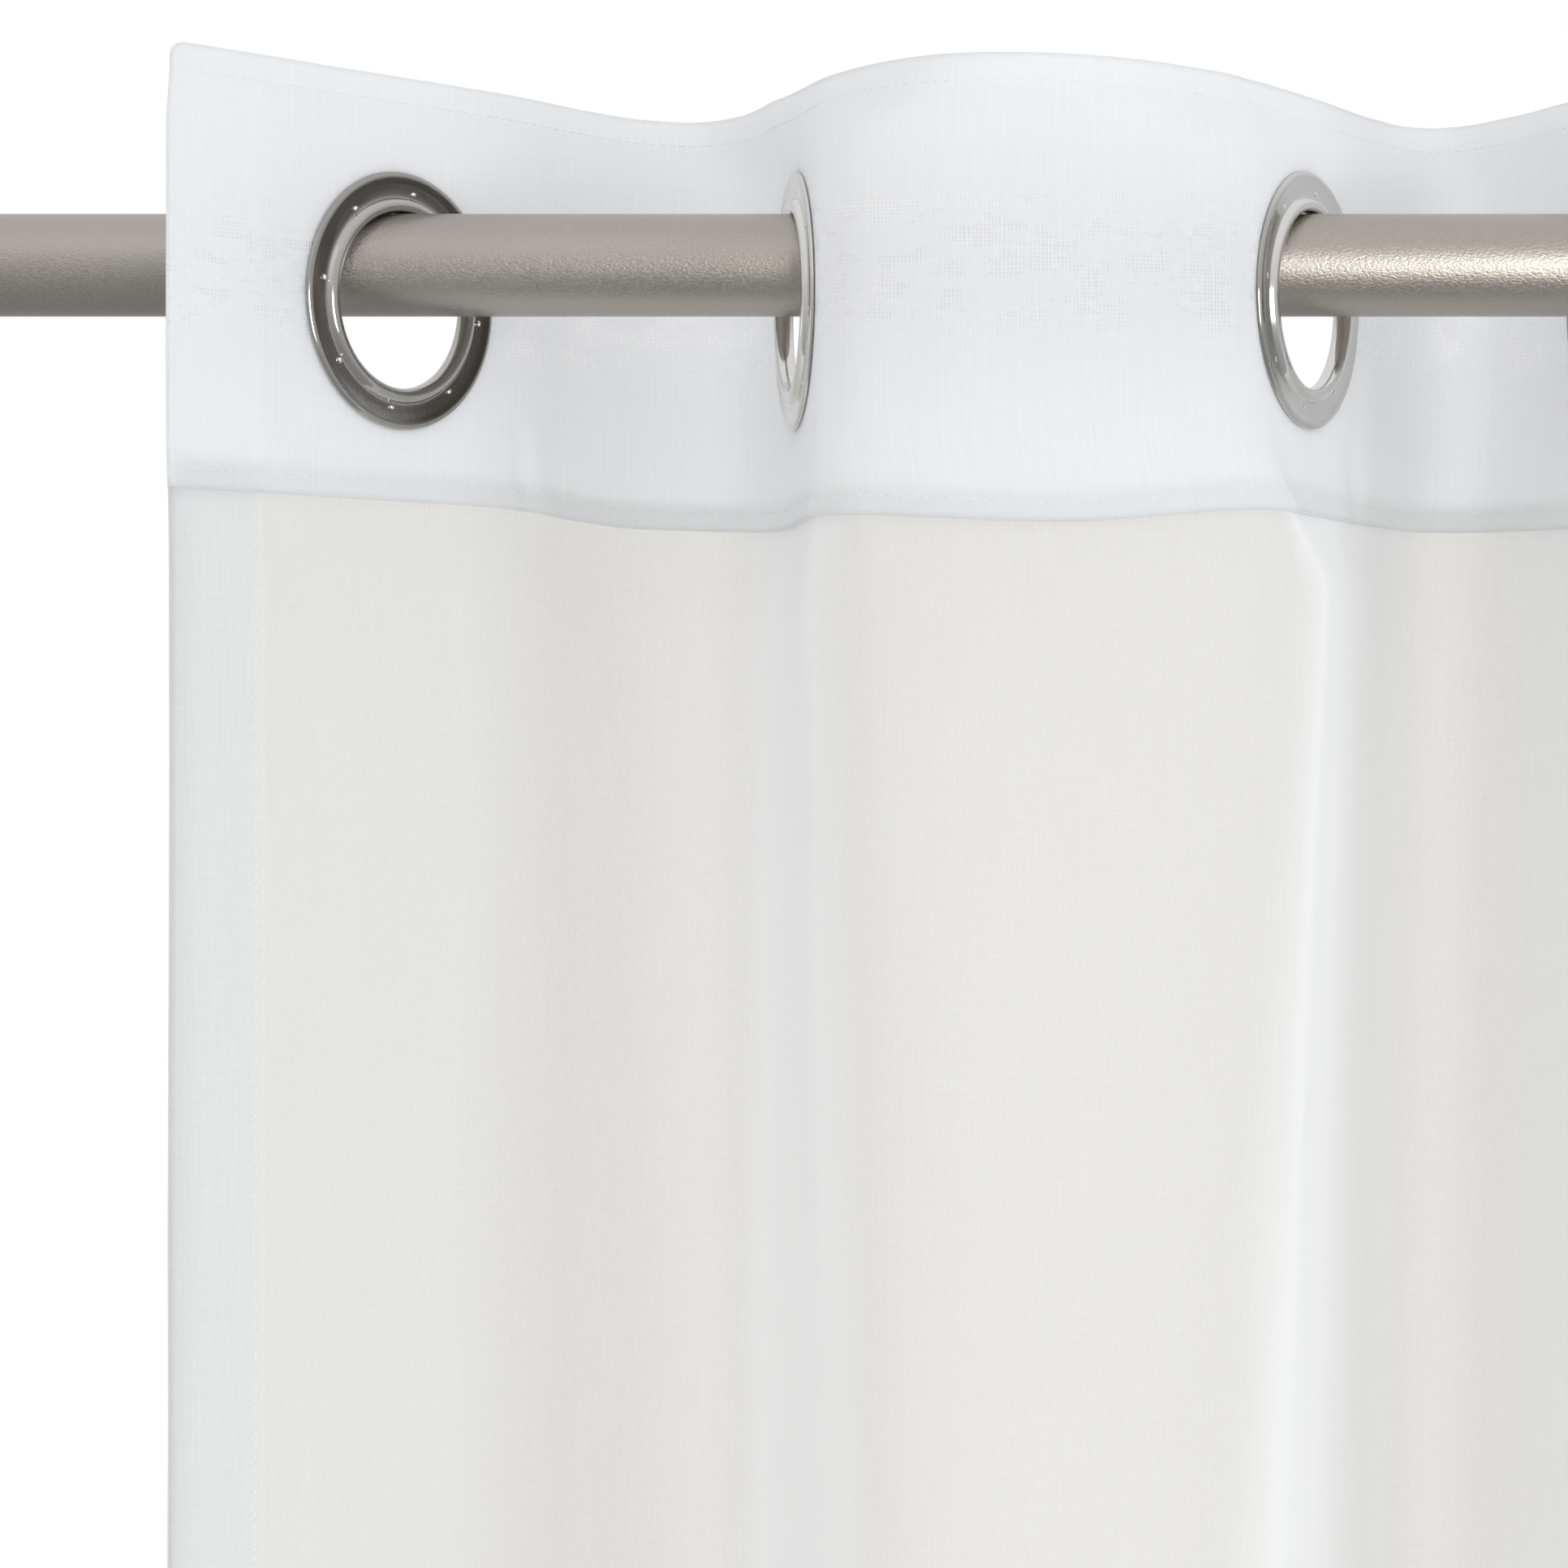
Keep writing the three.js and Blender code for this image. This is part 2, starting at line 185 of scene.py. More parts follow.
# Heights at which the plan is worked out: close together down to HEADING_END, then wider apart
LEVELS_TOP = 60
HEADING_END = -90
LEVELS_BELOW = 2320
LEVEL_FINE = np.arange(LEVELS_TOP, HEADING_END, -1.5)
LEVEL_COARSE = HEADING_END - LEVELS_BELOW * np.linspace(0, 1, 150) ** 1.35
LEVELS = np.concatenate([LEVEL_FINE, LEVEL_COARSE])
# Step of the plan along the cloth and how far it goes on past the edges; the steps of a
# fold's curve, and the tries and the longest handle with which its length is found
PLAN_STEP = 0.5
PLAN_MARGIN = 40
BEZIER_STEPS = 72
HANDLE_TRIES = 26
LONGEST_HANDLE = 400.0


def plan_table():
    """Plan x and y of the cloth's middle surface: a row for each level, a column each PLAN_STEP.
    Each fold's handles are set so that its curve is as long as its cloth."""
    widths = np.arange(-PLAN_MARGIN, CLOTH_WIDTH + PLAN_MARGIN, PLAN_STEP)
    table = np.zeros((len(LEVELS), len(widths), 2))
    for i in range(-1, EYELETS):
        at = max(i, 0)
        x, straight, dx, dy = pins(at, LEVELS)
        if i in (-1, EYELETS - 1):
            low = -math.inf if i == -1 else EYELET_U[i]
            high = EYELET_U[0] if i == -1 else math.inf
            span = (widths >= low) & (widths < high)
            past = widths[span][None, :] - EYELET_U[at]
            table[:, span, 0] = x[:, None] + dx[:, None] * past
            table[:, span, 1] = dy[:, None] * past
            continue
        x2, straight2, dx2, dy2 = pins(i + 1, LEVELS)
        free = FOLD["cloth"][i] - straight - straight2
        start = np.stack([x + dx * straight, dy * straight], 1)
        end = np.stack([x2 - dx2 * straight2, -dy2 * straight2], 1)
        low, high = np.zeros(len(LEVELS)), np.full(len(LEVELS), LONGEST_HANDLE)
        t = np.linspace(0, 1, BEZIER_STEPS + 1)[None, :, None]
        for _ in range(HANDLE_TRIES):
            handle = (low + high) / 2
            near = handle * (1 + FOLD["skew"][i])
            far = handle * (1 - FOLD["skew"][i])
            leave = start + np.stack([dx * near, dy * near], 1)
            arrive = end - np.stack([dx2 * far, dy2 * far], 1)
            points = (
                (1 - t) ** 3 * start[:, None] + 3 * (1 - t) ** 2 * t * leave[:, None]
                + 3 * (1 - t) * t**2 * arrive[:, None] + t**3 * end[:, None]
            )
            steps = np.linalg.norm(np.diff(points, axis=1), axis=2)
            length = steps.sum(1)
            low = np.where(length < free, handle, low)
            high = np.where(length < free, high, handle)
        reach = np.concatenate([np.zeros((len(LEVELS), 1)), np.cumsum(steps, 1)], 1)
        span = np.where((widths >= EYELET_U[i]) & (widths < EYELET_U[i + 1]))[0]
        past = widths[span] - EYELET_U[i]
        before = EYELET_U[i + 1] - widths[span]
        for k in range(len(LEVELS)):
            s = (past - straight[k]) / free[k] * length[k]
            px = np.interp(s, reach[k], points[k, :, 0])
            py = np.interp(s, reach[k], points[k, :, 1])
            ahead = past <= straight[k]
            behind = before <= straight2[k]
            px = np.where(ahead, x[k] + dx[k] * past, np.where(behind, x2[k] - dx2[k] * before, px))
            py = np.where(ahead, dy[k] * past, np.where(behind, -dy2[k] * before, py))
            table[k, span, 0], table[k, span, 1] = px, py
    return widths, table


PLAN_WIDTHS, PLAN = plan_table()
# Keeps a place inside the plan's last step
PLAN_LIMIT = 1.001


def plan_at(u, h):
    """Plan x and y at arrays of cloth width u and height h."""
    last_column, last_row = len(PLAN_WIDTHS) - PLAN_LIMIT, len(LEVELS) - PLAN_LIMIT
    column = np.clip((u - PLAN_WIDTHS[0]) / PLAN_STEP, 0, last_column)
    row = np.clip(np.interp(-h, -LEVELS, np.arange(len(LEVELS))), 0, last_row)
    c, r = column.astype(int), row.astype(int)
    cf, rf = (column - c)[..., None], (row - r)[..., None]
    upper = mix(PLAN[r, c], PLAN[r, c + 1], cf)
    lower = mix(PLAN[r + 1, c], PLAN[r + 1, c + 1], cf)
    return mix(upper, lower, rf)


def eased(column, midway, u):
    """Height along the width: level over each eyelet and eased between them by way of midway."""
    value = np.full(u.shape, FOLD[column][0])
    value = np.where(u >= EYELET_U[-1], FOLD[column][-1], value)
    for i in range(EYELETS - 1):
        start, end = EYELET_U[i] + RING_STRAIGHT, EYELET_U[i + 1] - RING_STRAIGHT
        share = 2 * (u - start) / (end - start)
        a, b, m = FOLD[column][i], FOLD[column][i + 1], midway[i]
        here = np.where(share < 1, mix(a, m, smooth(share)), mix(m, b, smooth(share - 1)))
        value = np.where((u > EYELET_U[i]) & (u <= EYELET_U[i + 1]), here, value)
    return value


def top_edge(u):
    """Height of the heading's top edge at u."""
    midway = (FOLD["lift"][:-1] + FOLD["lift"][1:]) / 2
    return EYELET_BELOW_TOP + eased("lift", midway, u)


def heading_foot(u):
    """Height of the heading's lower edge at u."""
    return -EYELET_ABOVE_FOOT + eased("foot", FOLD["sag"], u)


# The cloth's slight waves: how deep, how many, their lengths across and down the cloth, and
# how far they bend sideways; one row of WAVES has phase, lengths and slide of one wave
UNEVENNESS = 0.16
WAVE_COUNT = 14
WAVE_ACROSS = (14, 60)
WAVE_DOWN = (60, 400)
WAVE_BEND = 0.9
WAVE_SEED = random.Random(41)
WAVES = [
    (
        WAVE_SEED.uniform(0, 2 * math.pi),
        WAVE_SEED.uniform(*WAVE_ACROSS),
        WAVE_SEED.uniform(*WAVE_DOWN),
        WAVE_SEED.uniform(0, 2 * math.pi),
    )
    for _ in range(WAVE_COUNT)
]


def unevenness(u, h):
    """Slight waviness of woven cloth, from about -1 to 1."""
    value = np.zeros(np.broadcast(u, h).shape)
    for phase, across, down, slide in WAVES:
        bend = WAVE_BEND * np.sin(2 * math.pi * h / down + slide)
        value += np.sin(2 * math.pi * u / across + phase + bend)
    return value / len(WAVES) ** 0.5


def creases(u, h):
    """Depth of the listed creases at u and h, in mm towards the room."""
    value = np.zeros(np.broadcast(u, h).shape)
    for u0, h0, u1, h1, wide, deep in CREASES:
        du, dh = u1 - u0, h1 - h0
        reach = math.hypot(du, dh)
        s = ((u - u0) * du + (h - h0) * dh) / reach**2
        off = ((u - u0) * dh - (h - h0) * du) / reach
        upper = smooth((s + CREASE_FADE) / (2 * CREASE_FADE))
        lower = smooth((1 + CREASE_FADE - s) / (2 * CREASE_FADE))
        value += deep * np.exp(-0.5 * (off / (wide * CREASE_CORE)) ** 2) * upper * lower
    return value


def falls(u, h):
    """Depth of the lengthwise folds at u and h, in mm towards the room."""
    value = np.zeros(np.broadcast(u, h).shape)
    down = np.clip((-h - EYELET_ABOVE_FOOT) / FALL_LENGTH, 0, 1)
    for u_top, u_hem, top, third, hem, wide in FALLS:
        centre = mix(u_top, u_hem, down)
        depth = np.interp(down, FALL_SHARES, [top, third, hem])
        value += depth * np.exp(-0.5 * ((u - centre) / wide) ** 2)
    return value * smooth(down / FALL_START)


# Around an eyelet, the radius within which the cloth is flat, less the blend at its edge
CLAMPED_RADIUS = 40
CLAMPED_BLEND = 7


def near_ring(u, h):
    """1 over the flat cloth that a flange clamps, falling to 0 outside it."""
    value = np.zeros(np.broadcast(u, h).shape)
    for centre in EYELET_U:
        away = np.hypot(u - centre, h)
        value = np.maximum(value, smooth((CLAMPED_RADIUS - away) / CLAMPED_BLEND))
    return value


def drape(u, h, off):
    """Points in metres of the cloth at u and h, off mm in front of its middle surface."""
    u, h, off = np.broadcast_arrays(np.asarray(u, float), h, off)
    inner = np.clip(u, 0, CLOTH_WIDTH)
    p = plan_at(u, h)
    ahead = plan_at(inner + 1, h) - plan_at(inner - 1, h)
    ahead /= np.linalg.norm(ahead, axis=-1, keepdims=True)
    x = p[..., 0] + ahead[..., 1] * off
    y = p[..., 1] - ahead[..., 0] * off
    return np.stack([x, y, EYELET_Z + h], -1) * MM


def relief(u, h):
    """How far the cloth stands in front of its plan curve, in mm."""
    fine = creases(u, h) + UNEVENNESS * unevenness(u, h)
    return fine * (1 - near_ring(u, h)) + falls(u, h)


def new_piece(name, bm, look, smooth_angle=None):
    """Makes a bmesh into a piece at the origin."""
    mesh = bpy.data.meshes.new(name)
    bm.to_mesh(mesh)
    bm.free()
    mesh.materials.append(look)
    mesh.shade_smooth()
    if smooth_angle is not None:
        mesh.set_sharp_from_angle(angle=math.radians(smooth_angle))
    piece = bpy.data.objects.new(name, mesh)
    bpy.context.scene.collection.objects.link(piece)
    return piece


def cloth_grid(u, h, off, hem):
    """Grid of cloth whose columns run along the width: u, h and off are arrays of rows and
    columns. Its UV map holds the cloth's own width and height in metres, and its hem
    attribute is 1 where it lies double. Returns u and h of each vertex too."""
    rows, columns = u.shape
    bm = bmesh.new()
    bmesh.ops.create_grid(bm, x_segments=columns - 1, y_segments=rows - 1, size=0.5)
    bm.verts.ensure_lookup_table()
    places = np.array([v.co[:] for v in bm.verts])
    column = np.rint((places[:, 0] + 0.5) * (columns - 1)).astype(int)
    row = np.rint((0.5 - places[:, 1]) * (rows - 1)).astype(int)
    points = drape(u, h, off)[row, column]
    flat_u, flat_h = u[row, column] * MM, h[row, column] * MM
    layer = bm.verts.layers.float.new("hem")
    doubled = hem[row, column]
    for v, p, share in zip(bm.verts, points, doubled):
        v.co = p
        v[layer] = share
    uv = bm.loops.layers.uv.new("cloth")
    for face in bm.faces:
        for loop in face.loops:
            k = loop.vert.index
            loop[uv].uv = (flat_u[k], flat_h[k])
    return bm, flat_u / MM, flat_h / MM


class Term:
    """A shader value that takes part in Python arithmetic."""

    def __init__(self, look, socket):
        self.look = look
        self.socket = socket

    def math(self, operation, *others):
        values = dict(enumerate((self, *others)))
        return self.look.node("ShaderNodeMath", {"operation": operation}, values)

    def __add__(self, other):
        return self.math("ADD", other)

    __radd__ = __add__

    def __mul__(self, other):
        return self.math("MULTIPLY", other)

    __rmul__ = __mul__

    def __sub__(self, other):
        return self.math("SUBTRACT", other)

    def __rsub__(self, other):
        return self.look.node("ShaderNodeMath", {"operation": "SUBTRACT"}, {0: other, 1: self})

    def limited(self):
        return self.math("MAXIMUM", 0.0).math("MINIMUM", 1.0)

    def rising(self, low, high):
        """0 below low, 1 above high, and smooth between."""
        return self.look.node(
            "ShaderNodeMapRange",
            {"interpolation_type": "SMOOTHSTEP"},
            {"Value": self, "From Min": low, "From Max": high},
        )


def darker(colour, share):
    """The colour, darker by share."""
    return tuple(c * (1 - share) for c in colour)


class Look:
    """A material, and the nodes that make it."""

    def __init__(self, name):
        self.material = bpy.data.materials.new(name)
        self.material.use_nodes = True
        self.tree = self.material.node_tree
        self.tree.nodes.clear()

    def node(self, kind, settings=None, values=None, out=0):
        made = self.tree.nodes.new(kind)
        for name, value in (settings or {}).items():
            setattr(made, name, value)
        for key, value in (values or {}).items():
            if isinstance(value, Term):
                self.tree.links.new(value.socket, made.inputs[key])
            else:
                made.inputs[key].default_value = value
        return Term(self, made.outputs[out]) if len(made.outputs) else None

    def noise(self, coordinates, scale, detail=1.0, roughness=0.5, flat=False):
        """Noise whose scale may differ along each axis."""
        placed = self.node("ShaderNodeMapping", values={"Vector": coordinates, "Scale": scale})
        values = {"Vector": placed, "Scale": 1.0, "Detail": detail, "Roughness": roughness}
        settings = {"noise_dimensions": "2D" if flat else "3D"}
        return self.node("ShaderNodeTexNoise", settings, values)

    def blend(self, factor, a, b):
        """Colour between a and b, which are terms or three numbers."""
        a, b = ((*colour, 1) if isinstance(colour, tuple) else colour for colour in (a, b))
        return self.node("ShaderNodeMix", {"data_type": "RGBA"}, {0: factor, 6: a, 7: b}, out=2)

    def bump(self, height, strength, distance):
        return self.node(
            "ShaderNodeBump", values={"Height": height, "Strength": strength, "Distance": distance}
        )

    def finish(self, shader):
        self.node("ShaderNodeOutputMaterial", values={"Surface": shader})
        return self.material


# Dark colour of the eyelets' painted reflections, where a ring is painted as if it reflects
# something dark
PAINTED_DARK_REFLECTION = (0.1, 0.09, 0.078)
FLOOR_TONES = ((0.785, 0.785, 0.775), (0.8, 0.8, 0.79))


def satin_nickel(colour):
    """Brushed satin metal with a fine grain."""
    look = Look("satin_nickel")
    place = look.node("ShaderNodeTexCoord", out=3)
    grain = look.noise(place, (1200, 2100, 2100), 2.0, 0.55)
    cloud = look.noise(place, (16, 60, 60), 1.0, 0.5)
    light = tuple(min(c * 1.05, 1) for c in colour)
    tone = look.blend((grain * 0.7 + cloud * 0.3).rising(0.38, 0.62), darker(colour, 0.05), light)
    rough = 0.33 + 0.12 * grain.rising(0.3, 0.7)
    values = {
        "Base Color": tone,
        "Metallic": 1.0,
        "Roughness": rough,
        "Normal": look.bump(grain, 0.5, 0.00026),
    }
    return look.finish(look.node("ShaderNodeBsdfPrincipled", values=values))


def polished_nickel(colour):
    """Polished metal; the mesh's tone attribute holds painted reflections: where it is low, the
    metal is painted towards a dark nickel that stands in for dark surroundings reflected in it.
    """
    look = Look("polished_nickel")
    place = look.node("ShaderNodeTexCoord", out=3)
    painted_reflection = look.node("ShaderNodeAttribute", {"attribute_name": "tone"}, out=2)
    haze = look.noise(place, (120, 120, 120), 2.0, 0.55)
    scratch = look.noise(place, (2600, 2600, 300), 1.0, 0.6)
    tone = look.blend(painted_reflection, PAINTED_DARK_REFLECTION, colour)
    rough = 0.08 + 0.08 * haze.rising(0.35, 0.75) + 0.06 * scratch.rising(0.55, 0.75)
    values = {
        "Base Color": tone,
        "Metallic": 1.0,
        "Roughness": rough,
        "Normal": look.bump(scratch * 0.4 + haze, 0.1, 0.0002),
    }
    return look.finish(look.node("ShaderNodeBsdfPrincipled", values=values))


# Distance from thread to thread and the soft edge of the thin strip, in metres
THREAD_PITCH = 0.00092
STRIP_EDGE = 0.004
# How much double cloth hides, the tint of its sheen and the colour it takes at a slant
DOUBLE_COVER = 0.985
SHEEN_TINT = (0.85, 0.92, 1.0, 1)
LUSTRE = (0.955, 0.955, 0.965, 1)


def linen(
    name, colour, hem_colour, through_colour, cover, open_weave, glow, sheen, weave, strip=None
):
    """Woven cloth. Cover is how much its threads hide, open_weave how much that varies, glow
    the share of light that passes through the threads, sheen how white it reads at a slant,
    weave the strength of the threads, and strip the lower and upper height, in metres, of the
    part through which the rod shows in patches, and how thin those are.
    Where the piece's hem attribute is 1 the cloth lies double: whiter and closer."""
    look = Look(name)
    cloth = look.node("ShaderNodeUVMap", {"uv_map": "cloth"})
    width, height = (
        look.node("ShaderNodeSeparateXYZ", values={0: cloth}, out=k) for k in range(2)
    )
    hem = look.node("ShaderNodeAttribute", {"attribute_name": "hem"}, out=2)
    warp_slub = look.noise(cloth, (820, 48, 1), 1.0, 0.5, True)
    weft_slub = look.noise(cloth, (48, 820, 1), 1.0, 0.5, True)
    mottle = look.noise(cloth, (120, 42, 1), 1.0, 0.6, True)
    turn = 2 * math.pi / THREAD_PITCH
    warp = (width * turn + 5 * warp_slub).math("SINE")
    weft = (height * turn + 5 * weft_slub).math("SINE")
    threads = 0.5 + (0.36 * warp + 0.17 * weft) * mottle.rising(0.25, 0.55)
    slubs = warp_slub.rising(0.34, 0.7) + 0.45 * weft_slub.rising(0.34, 0.7) - 0.72
    shade = (0.5 + 0.6 * (threads - 0.5) + 0.14 * slubs + 0.4 * (mottle - 0.5)).limited()
    single = look.blend(shade, darker(colour, 0.075 * weave), colour)
    double = look.blend(shade, darker(hem_colour, 0.03 * weave), hem_colour)
    tone = look.blend(hem, single, double)
    alpha = cover + open_weave * (threads - 0.5 + 0.6 * slubs) + hem * (DOUBLE_COVER - cover)
    if strip:
        low, high, thin = strip
        patchy = look.noise(cloth, (75, 150, 1), 2.0, 0.7, True).rising(0.48, 0.62)
        inside = (height - low).rising(0, STRIP_EDGE) * (high - height).rising(0, STRIP_EDGE)
        alpha = alpha - thin * (0.5 - threads).rising(-0.1, 0.2) * patchy * inside
    alpha = alpha.limited()
    cloth_values = {
        "Base Color": tone,
        "Roughness": 0.85,
        "Sheen Weight": 1.0,
        "Sheen Roughness": 0.4,
        "Sheen Tint": SHEEN_TINT,
        "Specular IOR Level": 0.15,
        "Alpha": alpha,
        "Normal": look.bump(threads * 0.7 + 0.6 * slubs, 0.16 * weave, 0.0003),
    }
    face = look.node("ShaderNodeBsdfPrincipled", values=cloth_values)
    through = look.node("ShaderNodeBsdfTranslucent", values={"Color": (*through_colour, 1)})
    gaps = look.node("ShaderNodeBsdfTransparent")
    lit_from_behind = look.node("ShaderNodeMixShader", values={0: alpha, 1: gaps, 2: through})
    woven = look.node("ShaderNodeMixShader", values={0: glow, 1: face, 2: lit_from_behind})
    slant = look.node("ShaderNodeLayerWeight", values={"Blend": 0.5}, out=1).rising(0.2, 0.68)
    lustre = look.node("ShaderNodeBsdfDiffuse", values={"Color": LUSTRE})
    cloth_shader = look.node("ShaderNodeMixShader", values={0: slant * sheen, 1: woven, 2: lustre})
    return look.finish(cloth_shader)


def sewing_thread(colour):
    """Twisted thread of the seams."""
    look = Look("sewing_thread")
    place = look.node("ShaderNodeTexCoord", out=3)
    twist = look.noise(place, (3000, 3000, 3000), 1.0, 0.5)
    tone = look.blend(twist.rising(0.35, 0.65), darker(colour, 0.1), colour)
    values = {"Base Color": tone, "Roughness": 0.6, "Normal": look.bump(twist, 0.3, 0.0001)}
    return look.finish(look.node("ShaderNodeBsdfPrincipled", values=values))


def pale_floor():
    """Plain pale floor, hardly mottled."""
    look = Look("pale_floor")
    place = look.node("ShaderNodeTexCoord", out=3)
    mottle = look.noise(place, (3, 3, 3), 3.0, 0.5)
    tone = look.blend(mottle.rising(0.3, 0.7), *FLOOR_TONES)
    values = {"Base Color": tone, "Roughness": 0.7}
    return look.finish(look.node("ShaderNodeBsdfPrincipled", values=values))


class CurtainSizes(bpy.types.PropertyGroup):
    rod_diameter: FloatProperty(
        name="Rod diameter", description="Outside diameter of the rod", default=0.025, unit="LENGTH"
    )
    rod_length: FloatProperty(
        name="Rod length", description="Length of the rod", default=1.2, unit="LENGTH"
    )
    rod_chamfer: FloatProperty(
        name="Rod chamfer", description="Chamfer at the rod's ends", default=0.001, unit="LENGTH"
    )
    rod_sides: IntProperty(name="Rod sides", description="Sides of the rod's round", default=160)
    ring_steps: IntProperty(name="Ring steps", description="Steps around an eyelet", default=112)
    drop: FloatProperty(
        name="Drop", description="Height of the curtain from top edge to hem", default=2.45,
        unit="LENGTH",
    )
    heading_thickness: FloatProperty(
        name="Heading thickness", description="Thickness of the doubled heading", default=0.001,
        unit="LENGTH",
    )
    side_hem: FloatProperty(
        name="Side hem", description="Width of the turned side hems", default=0.029, unit="LENGTH"
    )
    foot_hem: FloatProperty(
        name="Foot hem", description="Height of the turned bottom hem", default=0.06, unit="LENGTH"
    )
    stitch_pitch: FloatProperty(
        name="Stitch pitch", description="Distance from one stitch to the next", default=0.0027,
        unit="LENGTH",
    )


class CurtainColours(bpy.types.PropertyGroup):
    rod: FloatVectorProperty(
        name="Rod", description="Satin nickel of the rod", default=(0.415, 0.386, 0.352),
        subtype="COLOR", min=0, max=1,
    )
    eyelet: FloatVectorProperty(
        name="Eyelet", description="Polished nickel of the eyelets", default=(0.82, 0.81, 0.79),
        subtype="COLOR", min=0, max=1,
    )
    heading: FloatVectorProperty(
        name="Heading", description="Cloth of the heading", default=(0.94, 0.945, 0.96),
        subtype="COLOR", min=0, max=1,
    )
    panel: FloatVectorProperty(
        name="Panel", description="Sheer cloth of the panel", default=(0.785, 0.768, 0.738),
        subtype="COLOR", min=0, max=1,
    )
    hem: FloatVectorProperty(
        name="Hem", description="Cloth where it lies double", default=(0.95, 0.975, 0.995),
        subtype="COLOR", min=0, max=1,
    )
    thread: FloatVectorProperty(
        name="Thread", description="Sewing thread", default=(0.93, 0.93, 0.93),
        subtype="COLOR", min=0, max=1,
    )


def eyelet_place(i):
    """Turns a shape made about Z so that Z points out of the cloth's front at eyelet i."""
    x, _, dx, dy = (float(v) for v in pins(i, np.array(0.0)))
    out = Vector((dy, -dx, 0))
    up = Vector((0, 0, 1))
    side = up.cross(out)
    turn = Matrix((side, up, out)).transposed().to_4x4()
    centre = Vector((x, 0, EYELET_Z + FOLD["rise"][i] - RING_SETTLE[i])) * MM
    return Matrix.Translation(centre) @ turn


# Ring profiles, as radius and height over the cloth's middle
FRONT_PROFILE = (
    (24.0, 0.8), (30.9, 0.8), (31.35, 0.84), (31.5, 1.02), (31.42, 1.3), (31.1, 1.62),
    (30.55, 1.84), (29.95, 1.88), (29.4, 1.72), (28.4, 1.58), (27.2, 1.48), (26.2, 1.44),
    (25.55, 1.42), (25.2, 1.5), (25.0, 1.8), (24.75, 2.25), (24.35, 2.65), (23.75, 2.92),
    (23.1, 3.0), (22.5, 2.9), (22.0, 2.6), (21.65, 2.1), (21.42, 1.4), (21.3, 0.4),
    (21.42, -0.5), (21.75, -1.15), (22.2, -1.6), (24.0, -1.6),
)
BACK_PROFILE = (
    (24.3, -0.8), (24.3, -1.8), (24.5, -2.1), (24.9, -2.2), (27.5, -2.18), (29.4, -2.1),
    (30.6, -1.75), (31.3, -1.3), (31.5, -1.0), (31.3, -0.8),
)
# Painted reflections: how brightly each ring's metal is painted, from 0, dark, to 1, standing in
# for what the ring reflects, since the real rings are all the same metal.
# Columns: its flange, its bead, and its flange about the angle in the last column, in degrees from
# the cloth's own direction
RING_REFLECTION_TONES = (
    (0.1, 0.5, 0.32, 232),
    (0.8, 0.8, 0.5, 180),
    (0.78, 0.8, 0.3, 182),
    (0.6, 0.75, 0.35, 200),
    (0.7, 0.8, 0.3, 180),
    (0.6, 0.75, 0.35, 200),
    (0.7, 0.8, 0.3, 180),
    (0.7, 0.8, 0.4, 190),
)
# How many degrees that angle's painted reflection patch reaches to each side, and the share of the
# spread by which it starts to fade
TONE_SPREAD = 42
TONE_FADE = 1.6
# The painted reflection tone at the flange's rim and how much of it shows, and the radii at which
# the flange's painted tone goes over to the bead's and to the rim's
RIM_TONE = 0.6
RIM_SHARE = 0.5
BEAD_TONE_FROM, BEAD_TONE_WIDTH = 25.7, 0.7
RIM_TONE_FROM, RIM_TONE_WIDTH = 30.0, 0.6
# Small domes around the front ring, where it snaps to the back ring: their circle, the first
# one's angle, their half sizes and height, and how far they stand out on each eyelet
SNAP_RADIUS = 26.5
SNAP_TURN = 37
SNAPS = 8
SNAP_FOOT = 1.45
SNAP_HALF = (0.62, 0.85)
SNAP_HEIGHTS = (0.85, 0.14, 0.14, 0.14, 0.14, 0.14, 0.14, 0.14)
# How far each eyelet settles onto the rod
RING_SETTLE = (0.8, 0.42, 0.42, 0.42, 0.42, 0.42, 0.42, 0.42)


